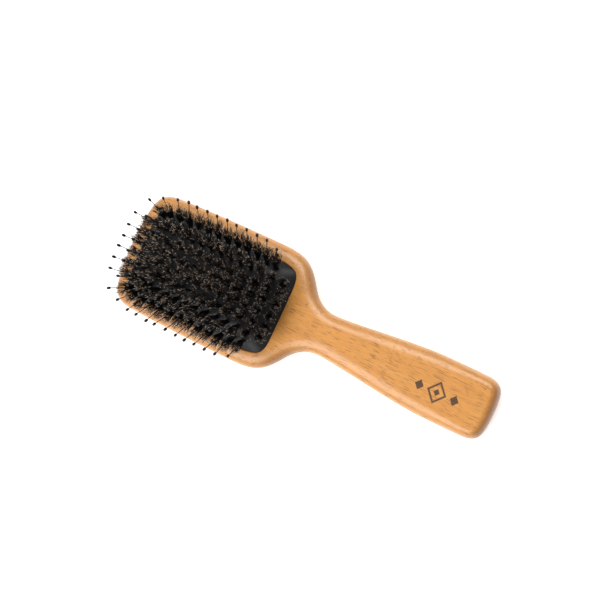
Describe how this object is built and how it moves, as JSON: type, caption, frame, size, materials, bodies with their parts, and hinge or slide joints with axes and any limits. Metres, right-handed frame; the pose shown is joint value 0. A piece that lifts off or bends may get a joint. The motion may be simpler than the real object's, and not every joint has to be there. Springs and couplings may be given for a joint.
{
  "type": "vanity hairbrush",
  "caption": "Wooden paddle hairbrush with a flat handle, an air-filled rubber cushion and tufts of bristle round long ball-tipped pins that press in and lean.",
  "frame": {"origin": "middle of the board's length and width, on the plane of its flat back", "axes": "+X along the brush towards the end of the handle, +Y across it, +Z out of the tufted side"},
  "size_m": [0.244, 0.0756, 0.0443],
  "materials": {
    "beech": "clear semi-gloss lacquer",
    "rubber": "smooth satin black",
    "plug_plastic": "matte black",
    "boar_bristle": "black and dark brown hair",
    "nylon": "smoky translucent grey",
    "ball_resin": "gloss black"
  },
  "bodies": {
    "paddle": {"wooden_paddle": "beech", "rubber_cushion": "rubber"},
    "plugs_column_1": {"tuft_plugs_1": "plug_plastic"},
    "tufts_column_1": {"bristles_1": "boar_bristle", "nylon_pins_1": "nylon", "ball_tips_1": "ball_resin"},
    "plugs_column_2": {"tuft_plugs_2": "plug_plastic"},
    "tufts_column_2": {"bristles_2": "boar_bristle", "nylon_pins_2": "nylon", "ball_tips_2": "ball_resin"},
    "plugs_column_3": {"tuft_plugs_3": "plug_plastic"},
    "tufts_column_3": {"bristles_3": "boar_bristle", "nylon_pins_3": "nylon", "ball_tips_3": "ball_resin"},
    "plugs_column_4": {"tuft_plugs_4": "plug_plastic"},
    "tufts_column_4": {"bristles_4": "boar_bristle", "nylon_pins_4": "nylon", "ball_tips_4": "ball_resin"},
    "plugs_column_5": {"tuft_plugs_5": "plug_plastic"},
    "tufts_column_5": {"bristles_5": "boar_bristle", "nylon_pins_5": "nylon", "ball_tips_5": "ball_resin"},
    "plugs_column_6": {"tuft_plugs_6": "plug_plastic"},
    "tufts_column_6": {"bristles_6": "boar_bristle", "nylon_pins_6": "nylon", "ball_tips_6": "ball_resin"},
    "plugs_column_7": {"tuft_plugs_7": "plug_plastic"},
    "tufts_column_7": {"bristles_7": "boar_bristle", "nylon_pins_7": "nylon", "ball_tips_7": "ball_resin"},
    "plugs_column_8": {"tuft_plugs_8": "plug_plastic"},
    "tufts_column_8": {"bristles_8": "boar_bristle", "nylon_pins_8": "nylon", "ball_tips_8": "ball_resin"}
  },
  "joints": [
    {"name": "press_column_1", "type": "slide", "parent": "paddle", "child": "plugs_column_1", "axis": [0, 0, -1], "range_m": [0, 0.0012], "stiffness_N_per_m": 250},
    {"name": "lean_column_1", "type": "hinge", "parent": "plugs_column_1", "child": "tufts_column_1", "pos_m": [-0.0615, -0.02415, 0.01631], "axis": [1, 0, 0], "range_deg": [-8.01, 8.01], "stiffness_Nm_per_rad": 0.03},
    {"name": "press_column_2", "type": "slide", "parent": "paddle", "child": "plugs_column_2", "axis": [0, 0, -1], "range_m": [0, 0.00236], "stiffness_N_per_m": 250},
    {"name": "lean_column_2", "type": "hinge", "parent": "plugs_column_2", "child": "tufts_column_2", "pos_m": [-0.0615, -0.01725, 0.01814], "axis": [1, 0, 0], "range_deg": [-8.01, 8.01], "stiffness_Nm_per_rad": 0.03},
    {"name": "press_column_3", "type": "slide", "parent": "paddle", "child": "plugs_column_3", "axis": [0, 0, -1], "range_m": [0, 0.00288], "stiffness_N_per_m": 250},
    {"name": "lean_column_3", "type": "hinge", "parent": "plugs_column_3", "child": "tufts_column_3", "pos_m": [-0.0615, -0.01035, 0.01887], "axis": [1, 0, 0], "range_deg": [-8.01, 8.01], "stiffness_Nm_per_rad": 0.03},
    {"name": "cushion_press", "type": "slide", "parent": "paddle", "child": "plugs_column_4", "axis": [0, 0, -1], "range_m": [0, 0.003], "stiffness_N_per_m": 250, "deforming": ["rubber_cushion"]},
    {"name": "tuft_lean", "type": "hinge", "parent": "plugs_column_4", "child": "tufts_column_4", "pos_m": [-0.0615, -0.00345, 0.01906], "axis": [1, 0, 0], "range_deg": [-8, 8], "stiffness_Nm_per_rad": 0.03},
    {"name": "press_column_5", "type": "slide", "parent": "paddle", "child": "plugs_column_5", "axis": [0, 0, -1], "range_m": [0, 0.00302], "stiffness_N_per_m": 250},
    {"name": "lean_column_5", "type": "hinge", "parent": "plugs_column_5", "child": "tufts_column_5", "pos_m": [-0.0615, 0.00345, 0.01906], "axis": [1, 0, 0], "range_deg": [-8.01, 8.01], "stiffness_Nm_per_rad": 0.03},
    {"name": "press_column_6", "type": "slide", "parent": "paddle", "child": "plugs_column_6", "axis": [0, 0, -1], "range_m": [0, 0.00288], "stiffness_N_per_m": 250},
    {"name": "lean_column_6", "type": "hinge", "parent": "plugs_column_6", "child": "tufts_column_6", "pos_m": [-0.0615, 0.01035, 0.01887], "axis": [1, 0, 0], "range_deg": [-8.01, 8.01], "stiffness_Nm_per_rad": 0.03},
    {"name": "press_column_7", "type": "slide", "parent": "paddle", "child": "plugs_column_7", "axis": [0, 0, -1], "range_m": [0, 0.00236], "stiffness_N_per_m": 250},
    {"name": "lean_column_7", "type": "hinge", "parent": "plugs_column_7", "child": "tufts_column_7", "pos_m": [-0.0615, 0.01725, 0.01814], "axis": [1, 0, 0], "range_deg": [-8.01, 8.01], "stiffness_Nm_per_rad": 0.03},
    {"name": "press_column_8", "type": "slide", "parent": "paddle", "child": "plugs_column_8", "axis": [0, 0, -1], "range_m": [0, 0.0012], "stiffness_N_per_m": 250},
    {"name": "lean_column_8", "type": "hinge", "parent": "plugs_column_8", "child": "tufts_column_8", "pos_m": [-0.0615, 0.02415, 0.01631], "axis": [1, 0, 0], "range_deg": [-8.01, 8.01], "stiffness_Nm_per_rad": 0.03}
  ],
  "couplings": [
    {"joint": "press_column_1", "follows": "cushion_press", "ratio": 0.3923},
    {"joint": "lean_column_1", "follows": "tuft_lean", "ratio": 1},
    {"joint": "press_column_2", "follows": "cushion_press", "ratio": 0.7796},
    {"joint": "lean_column_2", "follows": "tuft_lean", "ratio": 1},
    {"joint": "press_column_3", "follows": "cushion_press", "ratio": 0.9538},
    {"joint": "lean_column_3", "follows": "tuft_lean", "ratio": 1},
    {"joint": "press_column_5", "follows": "cushion_press", "ratio": 1},
    {"joint": "lean_column_5", "follows": "tuft_lean", "ratio": 1},
    {"joint": "press_column_6", "follows": "cushion_press", "ratio": 0.9538},
    {"joint": "lean_column_6", "follows": "tuft_lean", "ratio": 1},
    {"joint": "press_column_7", "follows": "cushion_press", "ratio": 0.7796},
    {"joint": "lean_column_7", "follows": "tuft_lean", "ratio": 1},
    {"joint": "press_column_8", "follows": "cushion_press", "ratio": 0.3923},
    {"joint": "lean_column_8", "follows": "tuft_lean", "ratio": 1}
  ]
}
